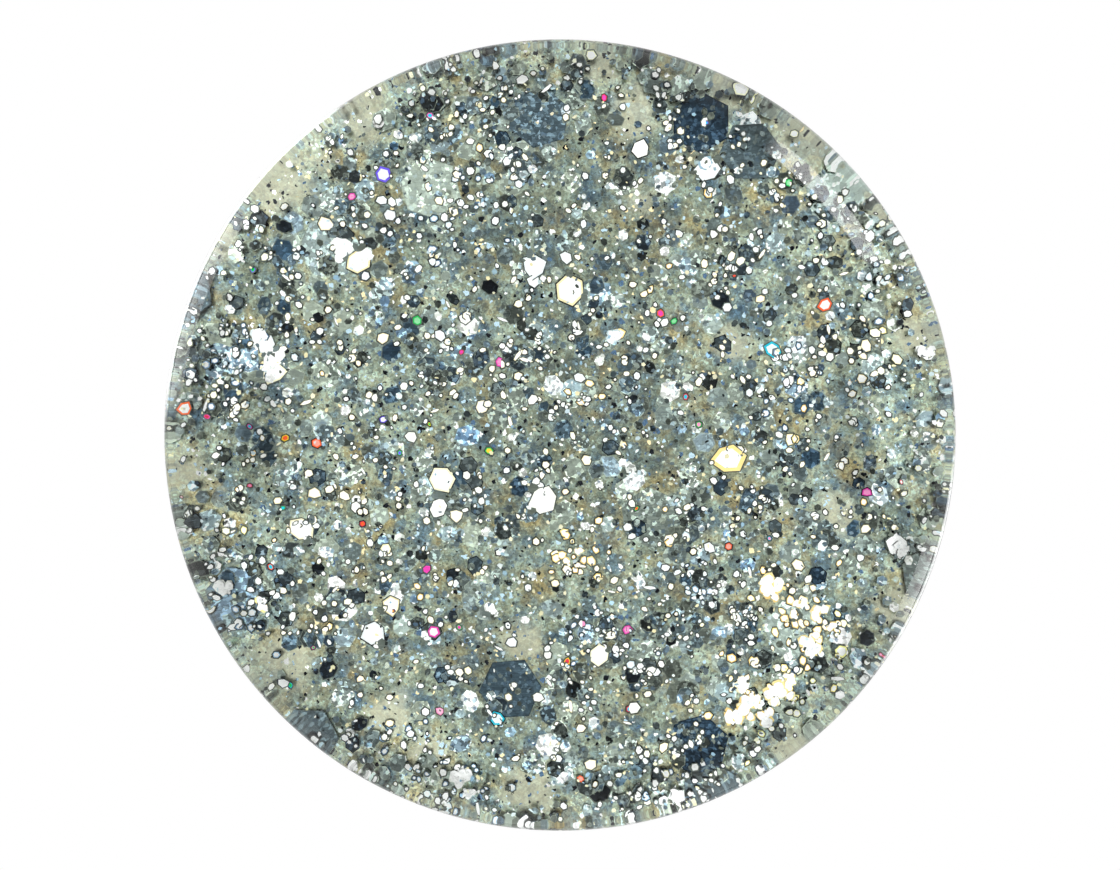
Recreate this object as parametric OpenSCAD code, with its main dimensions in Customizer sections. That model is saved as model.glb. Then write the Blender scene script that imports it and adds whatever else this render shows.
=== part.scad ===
// Nail polish bottle: round glass bottle, screw cap with brush, polish filled with hexagonal glitter.
// The base stands on z = 0 and +Z runs up the bottle through the neck and the cap.

/* [Bottle] */
// outside diameter of the glass
bottle_d = 30.4; // [30:0.1:31]
// height of the glass from its base to its lip
bottle_h = 45.3; // [45:0.1:47]
// thickness of the side wall
wall_t = 1.4; // [1.3:0.1:1.6]
// thickness of the base at its bearing ring
base_t = 2.2; // [2:0.1:2.6]
// radius of the rounded heel
heel_r = 2.2; // [2:0.1:2.4]
// depth of the shallow hollow under the base
push_up = 0.35; // [0.25:0.05:0.4]
// radius of the rounded shoulder
shoulder_r = 7; // [6.5:0.1:7.2]

/* [Neck finish] */
// diameter over the bottle's thread
thread_d = 13; // [12.9:0.05:13.05]
// diameter of the neck between the turns of the thread
neck_d = 11.4; // [11.3:0.05:11.45]
// diameter of the hole through the neck
neck_bore_d = 7; // [6.9:0.1:7.2]
// height of the neck above the shoulder
neck_h = 11.3; // [11.2:0.1:11.5]
// turns of the thread
thread_turns = 1.5; // [1.4:0.05:1.55]

/* [Cap] */
// outside diameter of the cap's shell
cap_d = 17.4; // [17.2:0.1:17.8]
// height of the cap's shell
cap_h = 38.2; // [37:0.1:40]
// thickness of the shell
shell_t = 0.8; // [0.7:0.05:0.85]

/* [Brush] */
// diameter of the stem
stem_d = 4.2; // [4.1:0.05:4.3]
// length of the bristles below the stem
tuft_l = 16; // [14:0.5:16.5]
// diameter of one bristle
bristle_d = 0.24; // [0.22:0.01:0.25]

/* [Polish] */
// height of the polish's surface
fill_z = 29.5; // [26:0.5:30]
// width of a large flake over its corners
large_d = 2.4; // [2.2:0.1:2.5]
// width of a medium flake over its corners
medium_d = 1.05; // [0.9:0.05:1.1]
// width of a small flake over its corners
small_d = 0.55; // [0.45:0.05:0.6]
// thickness of a flake
flake_t = 0.06; // [0.05:0.005:0.07]

/* [Hidden] */
fine = 96;
// bottle
bottle_r = bottle_d / 2;
inner_r = bottle_r - wall_t;
inner_corner_r = 2;
inner_shoulder_r = shoulder_r - wall_t;
shoulder_z = bottle_h - neck_h;
ceiling_z = shoulder_z - 1.6;
bearing_r = bottle_r - heel_r - 2.2;
push_up_sphere_r = (pow(bearing_r, 2) + pow(push_up, 2)) / (2 * push_up);
neck_r = neck_d / 2;
bore_r = neck_bore_d / 2;
lip_round = 0.6;
neck_fillet = 0.9;
// thread: 12 turns to the inch
pitch = 25.4 / 12;
thread_steps = 48;
thread_start_z = bottle_h - 2 - thread_turns * pitch;
thread_root_w = 1.15;
thread_crest_w = 0.55;
thread_sink = 0.3;
thread_fade = 5;
// cap
cap_r = cap_d / 2;
cap_z = shoulder_z + 0.9;
cap_top_z = cap_z + cap_h;
cap_edge_r = 1.2;
shell_inner_r = cap_r - shell_t;
insert_r = shell_inner_r - 0.05;
insert_z = cap_z + 0.5;
insert_bore_r = thread_d / 2 + 0.28;
insert_crest_r = neck_r + 0.22;
insert_turns = thread_turns - 0.25;
insert_thread_z = thread_start_z - pitch / 2 + 0.06;
deck_t = 1.2;
rib_count = 8;
rib_w = 0.9;
socket_wall = 1.1;
// brush and its washer
stem_r = stem_d / 2;
flange_r = 5.8;
flange_t = 0.9;
washer_t = 0.8;
washer_hole_r = stem_r + 0.12;
seat_gap = 0.03;
flange_z = bottle_h + washer_t + 2 * seat_gap;
deck_z = flange_z + flange_t + seat_gap;
plug_l = 9;
plug_r = stem_r + 0.25;
plug_groove_z = deck_z + 6;
bead_z = flange_z - washer_t - thread_turns * pitch - 0.75;
bead_r = stem_r + 0.35;
stem_end_z = 20;
tuft_r = 1.6;
tuft_depth = 4;
tuft_pitch = 0.31;
staple_w = 0.3;
staple_l = 3.8;
staple_h = 1.6;
staple_z = stem_end_z + 1.6;
// polish and glitter
polish_gap = 0.05;
polish_r = inner_r - polish_gap;
polish_floor = base_t + polish_gap;
channel_r = stem_r + 0.35;
channel_floor = stem_end_z - tuft_l - 0.5;
pocket_gap = 0.04;
golden = 137.508;
// centre x and y before flake_spread, turn and lean of each large flake on the floor
navy_flakes = [
  [-0.8, -12.2, 12, 4],
  [5.4, -12.0, 25, -5],
  [-1.9, 9.8, 30, 6],
  [5.3, 11.9, 8, -4],
  [3.5, 3.2, 20, 7],
  [-9.6, 11.3, 17, 5]
];
silver_flakes = [
  [-12.6, -2.7, 5, -4],
  [-8.9, -7.4, 22, 6],
  [-12.3, 6.2, 14, 5],
  [6.5, 0.9, 28, -6],
  [8.6, 7.4, 10, 5]
];
flake_floor = polish_floor + 0.42;
flake_spread = 0.77;
// flakes that lie flat on the floor, in one spiral shared by the kinds
floor_flakes = 130;
floor_spread = polish_r - 2.15;
floor_layer = polish_floor + 0.16;
MEDIUM_SILVER = [0];
MEDIUM_BLACK = [5];
SMALL_SILVER = [1, 4, 7, 9];
SMALL_BLACK = [2, 6];
SMALL_GOLD = [3, 8];
floor_kinds = 10;

glass_bottle();
polish_liquid();
glitter_large_navy();
glitter_large_silver();
glitter_medium_silver();
glitter_medium_black();
glitter_small_silver();
glitter_small_black();
glitter_small_gold();
neck_washer();
brush_stem();
brush_bristles();
brush_staple();
cap_insert();
cap_shell();

// ---------- shared shapes ----------

// Half section of a barrel with a rounded heel and a rounded shoulder.
module barrel_section(r, z0, z1, r_low, r_high) {
  translate([0, z0 + r_low]) square([r, z1 - z0 - r_low - r_high]);
  translate([0, z0]) square([r - r_low, r_low + 1]);
  translate([0, z1 - r_high - 1]) square([r - r_high, r_high + 1]);
  translate([r - r_low, z0 + r_low]) circle(r = r_low, $fn = fine);
  translate([r - r_high, z1 - r_high]) circle(r = r_high, $fn = fine);
}

// Small concave corner between a flat at height z and an upright at radius r.
module corner_fill(r, z, size, up) {
  difference() {
    translate([r - 0.2, up > 0 ? z - 0.2 : z - size]) square([size + 0.2, size + 0.2]);
    translate([r + size, z + up * size]) circle(r = size, $fn = fine);
  }
}

// One ring of four corner points of the thread at step i.
function ridge_ring(i, n, z0, r_root, r_crest, sink) =
  let (
    a = i * 360 / thread_steps,
    z = z0 + pitch * i / thread_steps,
    fade = max(0.12, min(1, i / thread_fade, (n - i) / thread_fade)),
    r_in = r_root + sink,
    r_out = r_root + (r_crest - r_root) * fade,
    w_root = thread_root_w / 2,
    w_crest = thread_crest_w / 2
  ) [
    [r_in * cos(a), r_in * sin(a), z - w_root],
    [r_out * cos(a), r_out * sin(a), z - w_crest],
    [r_out * cos(a), r_out * sin(a), z + w_crest],
    [r_in * cos(a), r_in * sin(a), z + w_root]
  ];

// Screw thread. A positive sink buries its root outwards, as in a cap, and a negative one inwards.
module thread_ridge(turns, z0, r_root, r_crest, sink) {
  n = round(turns * thread_steps);
  flip = sink > 0;
  points = [for (i = [0:n]) each ridge_ring(i, n, z0, r_root, r_crest, sink)];
  sides = [for (i = [0:n - 1], k = [0:3], half = [0, 1])
    let (a = 4 * i + k, b = 4 * i + (k + 1) % 4)
      half == 0 ? [a, b, b + 4] : [a, b + 4, a + 4]];
  ends = [[0, 3, 2], [0, 2, 1], [4 * n, 4 * n + 1, 4 * n + 2], [4 * n, 4 * n + 2, 4 * n + 3]];
  all = concat(sides, ends);
  polyhedron(points = points, faces = [for (f = all) flip ? [f[2], f[1], f[0]] : f], convexity = 4);
}

// Six-sided flake, lying flat about its own centre, made larger all round by grow.
module flake(size, grow) {
  cylinder(r = size / 2 + grow, h = flake_t + 2 * grow, center = true, $fn = 6);
}

// ---------- bottle ----------

module glass_bottle() {
  color([0.88, 0.93, 0.92, 0.35]) union() {
    difference() {
      rotate_extrude($fn = fine) glass_outline();
      rotate_extrude($fn = fine) intersection() {
        translate([0, push_up - push_up_sphere_r]) circle(r = push_up_sphere_r, $fn = fine);
        translate([0, -1]) square([bearing_r + 1, 2]);
      }
      rotate_extrude($fn = fine) inside_outline(inner_r, base_t, ceiling_z);
      translate([0, 0, ceiling_z - 1]) cylinder(r = bore_r, h = neck_h + 5, $fn = fine);
    }
    thread_ridge(thread_turns, thread_start_z, neck_r, thread_d / 2, -thread_sink);
  }
}

module glass_outline() {
  barrel_section(bottle_r, 0, shoulder_z, heel_r, shoulder_r);
  translate([0, shoulder_z - 1]) square([neck_r, neck_h + 1 - lip_round]);
  translate([0, bottle_h - 1]) square([neck_r - lip_round, 1]);
  translate([neck_r - lip_round, bottle_h - lip_round]) circle(r = lip_round, $fn = fine);
  corner_fill(neck_r, shoulder_z, neck_fillet, 1);
}

module inside_outline(r, z0, z1) {
  barrel_section(r, z0, z1, inner_corner_r, inner_shoulder_r);
}

// ---------- polish ----------

module polish_liquid() {
  color([0.5, 0.55, 0.47, 0.9]) difference() {
    rotate_extrude($fn = fine) intersection() {
      inside_outline(polish_r, polish_floor, ceiling_z - polish_gap);
      square([bottle_r, fill_z]);
    }
    translate([0, 0, channel_floor]) cylinder(r = channel_r, h = bottle_h, $fn = fine);
    hand_placed(navy_flakes, pocket_gap);
    hand_placed(silver_flakes, pocket_gap);
    medium_silver(pocket_gap);
    medium_black(pocket_gap);
    small_silver(pocket_gap);
    small_black(pocket_gap);
    small_gold(pocket_gap);
  }
}

// Large flakes that lie near the floor of the bottle.
module hand_placed(list, grow) {
  for (f = list) {
    translate([f[0] * flake_spread, f[1] * flake_spread, flake_floor]) rotate([f[3], 0, f[2]])
      flake(large_d, grow);
  }
}

// A kind of flake spread round the side wall. Each kind has rows of its own, so no two flakes meet.
module scattered(size, count, kind, grow) {
  for (i = [0:count - 1]) {
    turn = golden * i + 31 * kind;
    z = 5.4 + kind * 0.9 + (fill_z - 10.5) * (i + 0.5) / count;
    depth = 0.32 + 0.62 * kind;
    rotate([0, 0, turn]) translate([polish_r - depth, 0, z])
      rotate([0, 90 + 5 * sin(77 * i), 0]) rotate([0, 0, 40 * i]) flake(size, grow);
  }
}

// Flakes of one kind on the floor of the bottle.
module on_floor(size, kinds, grow) {
  for (i = [0:floor_flakes - 1]) {
    if (len(search(i % floor_kinds, kinds)) > 0)
      rotate([0, 0, golden * i]) translate([floor_spread * sqrt((i + 0.6) / floor_flakes), 0, floor_layer])
        rotate([0, 0, 25 * i]) flake(size, grow);
  }
}

module medium_silver(grow) {
  on_floor(medium_d, MEDIUM_SILVER, grow);
  scattered(medium_d, 20, 0, grow);
}

module medium_black(grow) {
  on_floor(medium_d, MEDIUM_BLACK, grow);
  scattered(medium_d, 14, 1, grow);
}

module small_silver(grow) {
  on_floor(small_d, SMALL_SILVER, grow);
  scattered(small_d, 24, 2, grow);
}

module small_black(grow) {
  on_floor(small_d, SMALL_BLACK, grow);
  scattered(small_d, 18, 3, grow);
}

module small_gold(grow) {
  on_floor(small_d, SMALL_GOLD, grow);
  scattered(small_d, 12, 4, grow);
}

module glitter_large_navy() {
  color([0.12, 0.17, 0.24]) hand_placed(navy_flakes, 0);
}

module glitter_large_silver() {
  color([0.62, 0.72, 0.8]) hand_placed(silver_flakes, 0);
}

module glitter_medium_silver() {
  color([0.8, 0.85, 0.88]) medium_silver(0);
}

module glitter_medium_black() {
  color([0.07, 0.08, 0.1]) medium_black(0);
}

module glitter_small_silver() {
  color([0.9, 0.92, 0.9]) small_silver(0);
}

module glitter_small_black() {
  color([0.05, 0.05, 0.06]) small_black(0);
}

module glitter_small_gold() {
  color([0.95, 0.78, 0.45]) small_gold(0);
}

// ---------- brush ----------

// Loose sealing washer, held on the stem between the flange and a small bead.
module neck_washer() {
  color([0.93, 0.93, 0.9]) translate([0, 0, bottle_h + seat_gap]) difference() {
    cylinder(r = flange_r, h = washer_t, $fn = fine);
    translate([0, 0, -1]) cylinder(r = washer_hole_r, h = washer_t + 2, $fn = fine);
  }
}

module brush_stem() {
  color([0.95, 0.95, 0.94]) difference() {
    rotate_extrude($fn = fine) stem_outline();
    translate([0, 0, stem_end_z - 1]) cylinder(r = tuft_r + 0.12, h = tuft_depth + 1, $fn = fine);
    translate([0, 0, staple_z + staple_h / 2])
      cube([staple_l + 0.06, staple_w + 0.06, staple_h + 0.06], center = true);
  }
}

module stem_outline() {
  difference() {
    union() {
      translate([0, stem_end_z]) square([stem_r, flange_z - stem_end_z + 0.1]);
      translate([0, flange_z]) square([flange_r, flange_t]);
      translate([0, flange_z]) square([plug_r, flange_t + plug_l - 0.5]);
      translate([0, flange_z + flange_t + plug_l - 1]) square([plug_r - 0.5, 1]);
      translate([plug_r - 0.5, flange_z + flange_t + plug_l - 0.5]) circle(r = 0.5, $fn = fine);
      translate([stem_r - 0.35, bead_z]) circle(r = 0.7, $fn = fine);
    }
    translate([plug_r + 0.2, plug_groove_z]) circle(r = 0.5, $fn = fine);
  }
}

// Bristles in straight rows, in two halves either side of the staple, with a rounded tip.
module brush_bristles() {
  rows = floor(tuft_r / tuft_pitch);
  color([0.12, 0.12, 0.13]) for (row = [-rows:rows], col = [-rows - 1:rows]) {
    x = (col + (abs(row) % 2) / 2 + 0.25) * tuft_pitch;
    y = row * tuft_pitch * 0.866 + sign(row) * 0.03;
    r = norm([x, y]);
    tip = stem_end_z - tuft_l + 2.2 * pow(r / tuft_r, 2);
    if (r < tuft_r - bristle_d / 2 && row != 0)
      translate([x, y, tip]) cylinder(d = bristle_d, h = stem_end_z + tuft_depth - 0.1 - tip, $fn = 16);
  }
}

// Flat metal staple that holds the bristles in the end of the stem.
module brush_staple() {
  color([0.75, 0.75, 0.76]) translate([0, 0, staple_z + staple_h / 2])
    cube([staple_l, staple_w, staple_h], center = true);
}

// ---------- cap ----------

// Inner cap with the thread, a deck over the brush's flange, a socket for its plug and ribs to the shell.
module cap_insert() {
  socket_r = plug_r + socket_wall;
  rib_top = cap_top_z - shell_t - 0.1;
  color([0.9, 0.9, 0.89]) union() {
    difference() {
      union() {
        translate([0, 0, insert_z]) cylinder(r = insert_r, h = deck_z + deck_t - insert_z, $fn = fine);
        translate([0, 0, deck_z]) cylinder(r = socket_r, h = plug_l + deck_t + 1, $fn = fine);
        for (i = [0:rib_count - 1]) {
          rotate([0, 0, i * 360 / rib_count]) translate([plug_r + 0.4, -rib_w / 2, deck_z])
            cube([insert_r - 0.05 - plug_r - 0.4, rib_w, rib_top - deck_z]);
        }
      }
      translate([0, 0, insert_z - 1]) cylinder(r = insert_bore_r, h = deck_z - insert_z + 1, $fn = fine);
      translate([0, 0, deck_z - 1]) cylinder(r = plug_r + 0.05, h = plug_l + 1.3, $fn = fine);
      translate([0, 0, deck_z + plug_l + deck_t + 1]) cylinder(r = insert_r - 2.4, h = cap_h, $fn = fine);
    }
    thread_ridge(insert_turns, insert_thread_z, insert_bore_r, insert_crest_r, thread_sink);
    rotate_extrude($fn = fine) translate([plug_r + 0.2, plug_groove_z]) circle(r = 0.4, $fn = fine);
  }
}

// Smooth outer shell of the cap.
module cap_shell() {
  color([0.05, 0.05, 0.055]) difference() {
    rotate_extrude($fn = fine) {
      translate([0, cap_z]) square([cap_r, cap_h - cap_edge_r]);
      translate([0, cap_top_z - cap_edge_r - 1]) square([cap_r - cap_edge_r, cap_edge_r + 1]);
      translate([cap_r - cap_edge_r, cap_top_z - cap_edge_r]) circle(r = cap_edge_r, $fn = fine);
    }
    translate([0, 0, cap_z - 1]) cylinder(r = shell_inner_r, h = cap_h - shell_t + 1, $fn = fine);
  }
}
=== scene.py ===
"""Looks of a round glass nail polish bottle filled with hexagonal glitter polish, seen from below."""

import random
from math import asin, atan, atan2, cos, degrees, exp, hypot, pi, radians, sin, sqrt

import bpy
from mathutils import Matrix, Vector, noise


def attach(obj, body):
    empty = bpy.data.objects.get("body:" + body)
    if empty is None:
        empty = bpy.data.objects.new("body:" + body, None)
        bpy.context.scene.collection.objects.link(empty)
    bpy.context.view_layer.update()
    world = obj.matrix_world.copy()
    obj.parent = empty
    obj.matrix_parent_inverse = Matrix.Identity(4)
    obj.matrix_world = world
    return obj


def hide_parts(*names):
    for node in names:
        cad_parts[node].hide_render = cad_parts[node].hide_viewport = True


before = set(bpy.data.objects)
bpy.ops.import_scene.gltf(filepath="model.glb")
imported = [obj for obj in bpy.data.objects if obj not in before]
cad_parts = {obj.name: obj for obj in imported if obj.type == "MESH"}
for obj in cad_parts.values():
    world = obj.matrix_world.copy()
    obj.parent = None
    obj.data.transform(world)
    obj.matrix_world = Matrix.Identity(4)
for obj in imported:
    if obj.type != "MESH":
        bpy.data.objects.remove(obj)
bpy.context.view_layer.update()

MM = 0.001
SEGMENTS = 256
IOR_GLASS = 1.52

# Sizes in mm, the same as in the CAD part.
BOTTLE_R = 15.2
HEEL_R = 2.2
PUSH_UP = 0.35
BEARING_R = 10.8
SHOULDER_R = 7.0
SHOULDER_Z = 34.0
LIP_Z = 45.3
NECK_R = 5.7
NECK_FILLET = 0.9
LIP_ROUND = 0.6
BORE_R = 3.5
BORE_ROUND = 0.3
BORE_FOOT = 0.7
INNER_R = 13.8
BASE_T = 2.2
CORNER_R = 2.0
CEILING_Z = 32.4
INNER_SHOULDER_R = 5.6
FILL_Z = 29.5
THREAD_R = 6.5
THREAD_PITCH = 25.4 / 12
THREAD_TURNS = 1.5
THREAD_Z = LIP_Z - 2 - THREAD_TURNS * THREAD_PITCH
CAP_R = 8.7
CAP_Z = 34.9
CAP_TOP = 73.1
CAP_WALL = 0.8
STEM_END_Z = 20.0
TUFT_TIP_Z = 4.0
# How far the polish climbs the glass at its surface.
MENISCUS = 0.45
# The polish's skin lies this far inside the glass, so that no air shows between them.
SOAK = 0.06

# The view is FRAME_WIDTH mm wide where the heel is widest, CAMERA_FAR mm in front of the camera.
LENS, SENSOR = 200.0, 36.0
FRAME_WIDTH = 43.03
CAMERA_FAR = FRAME_WIDTH * LENS / SENSOR

# Bare patches of the polish as seen through the base: x, y and spread.
BARE = ((-10.6, -9.9, 2.6), (9.3, -11.6, 2.2), (-10.4, 8.9, 2.0), (-5.2, 12.3, 1.4), (-1.3, 13.6, 1.3),
        (-14.0, 1.5, 1.4), (13.6, -3.8, 1.3), (1.6, -14.2, 1.4), (6.4, -3.6, 1.2), (2.8, -12.6, 1.7),
        (6.6, -13.6, 1.6), (11.9, -9.0, 1.5), (3.2, -9.0, 1.2), (-12.9, -7.4, 1.4), (-7.6, -12.6, 1.3),
        (8.9, 12.0, 1.4), (12.9, 6.6, 1.2), (-6.6, 10.6, 1.2), (10.6, 3.0, 1.2), (-1.6, 8.0, 1.1))

rng = random.Random(20)
uniform, choice, gauss = rng.uniform, rng.choice, rng.gauss


# ---- shapes

def arc(cr, cz, radius, start, end, steps):
    """Points of an arc in the (radius, height) plane, angles in degrees."""
    angles = [radians(start + (end - start) * i / steps) for i in range(steps + 1)]
    return [(cr + radius * cos(a), cz + radius * sin(a)) for a in angles]


def run(a, b, steps):
    """Points of a straight run from a to b, without a itself."""
    dr, dz = b[0] - a[0], b[1] - a[1]
    return [(a[0] + dr * i / steps, a[1] + dz * i / steps) for i in range(1, steps + 1)]


def mesh_piece(name, points, faces, material, smooth=True):
    """An object of points in metres."""
    mesh = bpy.data.meshes.new(name)
    mesh.from_pydata(points, [], faces)
    mesh.validate()
    mesh.polygons.foreach_set("use_smooth", [smooth] * len(mesh.polygons))
    mesh.materials.append(material)
    obj = bpy.data.objects.new(name, mesh)
    bpy.context.scene.collection.objects.link(obj)
    return obj


def revolve(name, profile, material, segments=SEGMENTS, closed=False, bulge=None):
    """Turns a profile of (radius, height) in mm about Z. Open profiles start and end on the axis."""
    points, faces, rings = [], [], []
    for r, z in profile:
        if r < 1e-6:
            rings.append([len(points)])
            points.append((0, 0, z * MM))
            continue
        ring = []
        for k in range(segments):
            a = 2 * pi * k / segments
            rr = r + (bulge(a, r, z) if bulge else 0)
            ring.append(len(points))
            points.append((rr * cos(a) * MM, rr * sin(a) * MM, z * MM))
        rings.append(ring)
    pairs = list(zip(rings, rings[1:]))
    if closed:
        pairs.append((rings[-1], rings[0]))
    for low, high in pairs:
        for k in range(segments):
            n = (k + 1) % segments
            if len(low) == 1 and len(high) > 1:
                faces.append((low[0], high[n], high[k]))
            elif len(high) == 1 and len(low) > 1:
                faces.append((low[k], low[n], high[0]))
            elif len(low) > 1:
                faces.append((low[k], low[n], high[n], high[k]))
    return mesh_piece(name, points, faces, material)


# ---- materials

def srgb(r, g, b):
    """Linear colour of 0 to 255 screen values."""
    def one(c):
        c /= 255
        return c / 12.92 if c <= 0.04045 else ((c + 0.055) / 1.055) ** 2.4
    return (one(r), one(g), one(b), 1.0)


def grey(value):
    return (value, value, value, 1.0)


class Nodes:
    """A short way to write a node tree."""

    def __init__(self, tree):
        self.tree = tree

    def add(self, kind, inputs=None, **props):
        node = self.tree.nodes.new(kind)
        for key, value in props.items():
            setattr(node, key, value)
        for key, value in (inputs or {}).items():
            if isinstance(value, bpy.types.NodeSocket):
                self.tree.links.new(value, node.inputs[key])
            else:
                node.inputs[key].default_value = value
        return node

    def math(self, operation, a, b=0.0, c=0.0, clamp=False):
        node = self.add("ShaderNodeMath", {0: a, 1: b, 2: c}, operation=operation, use_clamp=clamp)
        return node.outputs[0]

    def vector(self, operation, a, b=(0, 0, 0)):
        """A vector operation's vector, or for a length, distance or dot product its number."""
        second = "Scale" if operation == "SCALE" else 1
        node = self.add("ShaderNodeVectorMath", {0: a, second: b}, operation=operation)
        return node.outputs["Value" if operation in ("LENGTH", "DISTANCE", "DOT_PRODUCT") else "Vector"]

    def smooth(self, value, start, end, low=0.0, high=1.0):
        """Goes smoothly from low to high as the value goes from start to end."""
        return self.add("ShaderNodeMapRange", {"Value": value, "From Min": start, "From Max": end,
                                               "To Min": low, "To Max": high},
                        interpolation_type="SMOOTHSTEP").outputs[0]

    def ramp(self, factor, stops, interpolation="LINEAR"):
        """A colour ramp of (place, colour), where a single number is a grey."""
        node = self.add("ShaderNodeValToRGB", {0: factor})
        node.color_ramp.interpolation = interpolation
        elements = node.color_ramp.elements
        while len(elements) < len(stops):
            elements.new(0.5)
        for element, (position, colour) in zip(elements, stops):
            element.position = position
            element.color = (*colour[:3], 1) if isinstance(colour, tuple) else grey(colour)
        return node.outputs[0]

    def mix(self, factor, a, b, blend="MIX"):
        node = self.add("ShaderNodeMix", {0: factor, 6: a, 7: b}, data_type="RGBA", blend_type=blend)
        return node.outputs[2]

    def mm(self):
        """The point in the object's own frame, in mm."""
        return self.vector("SCALE", self.add("ShaderNodeTexCoord").outputs["Object"], 1 / MM)

    def noise(self, vector, scale, detail=2.0, roughness=0.5, output=0):
        return self.add("ShaderNodeTexNoise", {"Vector": vector, "Scale": scale, "Detail": detail,
                                               "Roughness": roughness}).outputs[output]

    def bump(self, height, strength, distance):
        return self.add("ShaderNodeBump", {"Height": height, "Strength": strength,
                                           "Distance": distance}).outputs[0]


def new_material(name):
    material = bpy.data.materials.new(name)
    material.use_nodes = True
    material.node_tree.nodes.clear()
    nodes = Nodes(material.node_tree)
    shader = nodes.add("ShaderNodeBsdfPrincipled")
    nodes.add("ShaderNodeOutputMaterial", {0: shader.outputs[0]})
    return material, nodes, shader


def wire(nodes, shader, **sockets):
    """Sets or links sockets of a shader by name, with _ for a space."""
    for key, value in sockets.items():
        socket = shader.inputs[key.replace("_", " ")]
        if isinstance(value, bpy.types.NodeSocket):
            nodes.tree.links.new(value, socket)
        else:
            socket.default_value = value


SAGE_DARK = srgb(119, 130, 123)
SAGE = srgb(162, 172, 156)
SAGE_PALE = srgb(194, 204, 187)
KHAKI = srgb(211, 211, 187)
OLIVE = srgb(184, 167, 120)
SLATE = srgb(90, 118, 142)
INK = srgb(24, 28, 33)
STEEL_BLUE = srgb(84, 110, 136)
ICE = srgb(190, 216, 230)
WHITE = srgb(255, 255, 252)
WARM = srgb(250, 232, 184)
SPECKS = [(0.0, INK), (0.3, STEEL_BLUE), (0.5, SAGE_PALE), (0.62, ICE), (0.82, WHITE), (0.94, WARM)]


def clear_glass():
    material, n, shader = new_material("clear_glass")
    place = n.mm()
    wave = n.noise(place, 0.12, 1.0)
    tint = n.mix(n.noise(place, 0.3), srgb(246, 251, 249), srgb(251, 253, 252))
    wire(n, shader, Base_Color=tint, Roughness=0.0, IOR=IOR_GLASS, Transmission_Weight=1.0,
         Normal=n.bump(wave, 0.04, 0.0004))
    return material


def warped(n, place, scale, amount):
    """The place, pushed about by noise, so that cells and dots come out ragged."""
    push = n.noise(place, scale, 2.0, 0.5, output=1)
    centred = n.vector("SUBTRACT", push, (0.5, 0.5, 0.5))
    return n.vector("ADD", place, n.vector("SCALE", centred, amount))


def cells(n, place, size):
    """Random red, green and blue of the cell, and the distance from its middle in cell sizes."""
    node = n.add("ShaderNodeTexVoronoi", {"Vector": place, "Scale": 1 / size, "Randomness": 1.0})
    split = n.add("ShaderNodeSeparateColor", {0: node.outputs["Color"]})
    return split.outputs[0], split.outputs[1], split.outputs[2], node.outputs["Distance"]


def dots(n, under, place, size, cover, radius, stops):
    """Ragged dots over a colour, one in each cell, some left out, each in a colour of its own."""
    red, green, blue, distance = cells(n, place, size)
    reach = n.math("MULTIPLY_ADD", red, radius * 0.6, radius * 0.4)
    mask = n.math("MULTIPLY", n.math("LESS_THAN", distance, reach), n.math("LESS_THAN", blue, cover))
    return n.mix(mask, under, n.ramp(green, stops, "CONSTANT")), mask


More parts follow.
